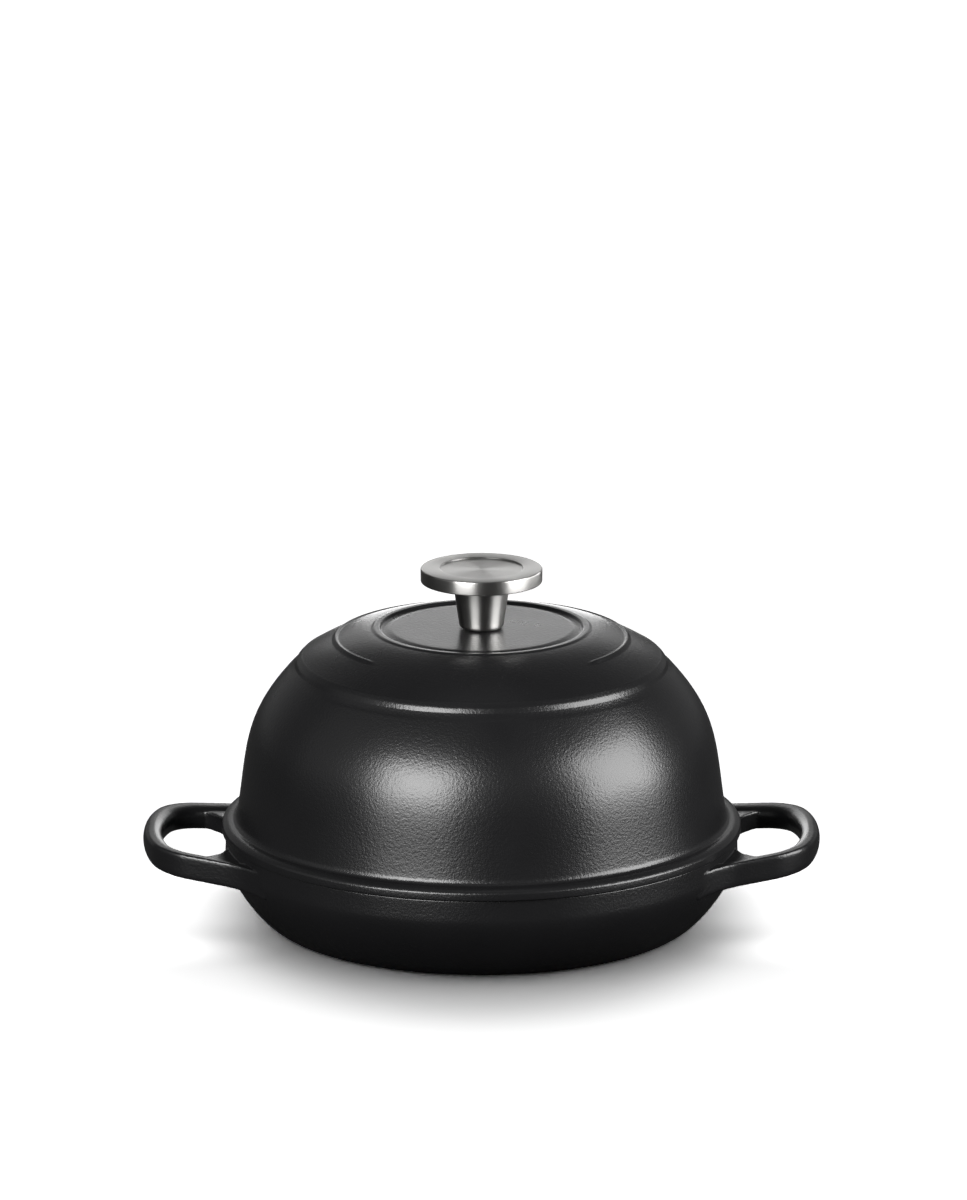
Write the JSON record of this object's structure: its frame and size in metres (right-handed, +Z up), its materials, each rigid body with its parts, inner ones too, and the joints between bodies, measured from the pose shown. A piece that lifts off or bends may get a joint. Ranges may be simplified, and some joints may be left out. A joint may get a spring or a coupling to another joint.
{
  "type": "bread pot",
  "caption": "Cast iron bread pot: shallow round pan with loop handles, tall domed lid resting on its rim, and a steel knob on top.",
  "frame": {"origin": "centre of the pan's flat underside, on the pot's turning axis", "axes": "+Z up along the pot's axis, +X along the line through both loop handles"},
  "size_m": [0.3284, 0.252, 0.1736],
  "materials": {
    "pan_enamel": "matte black enamel with a fine pebbled grain",
    "lid_enamel": "matte black enamel with a fine pebbled grain",
    "knob_steel": "turned and brushed stainless steel",
    "fastener_steel": "plain bright steel"
  },
  "bodies": {
    "pan": {"base_pan": "pan_enamel"},
    "lid": {"lid_dome": "lid_enamel", "knob": "knob_steel", "knob_washer": "fastener_steel", "knob_screw": "fastener_steel"}
  },
  "joints": [
    {"name": "lid_lift", "type": "slide", "parent": "pan", "child": "lid", "axis": [0, 0, 1], "range_m": [0, 0.15]}
  ]
}
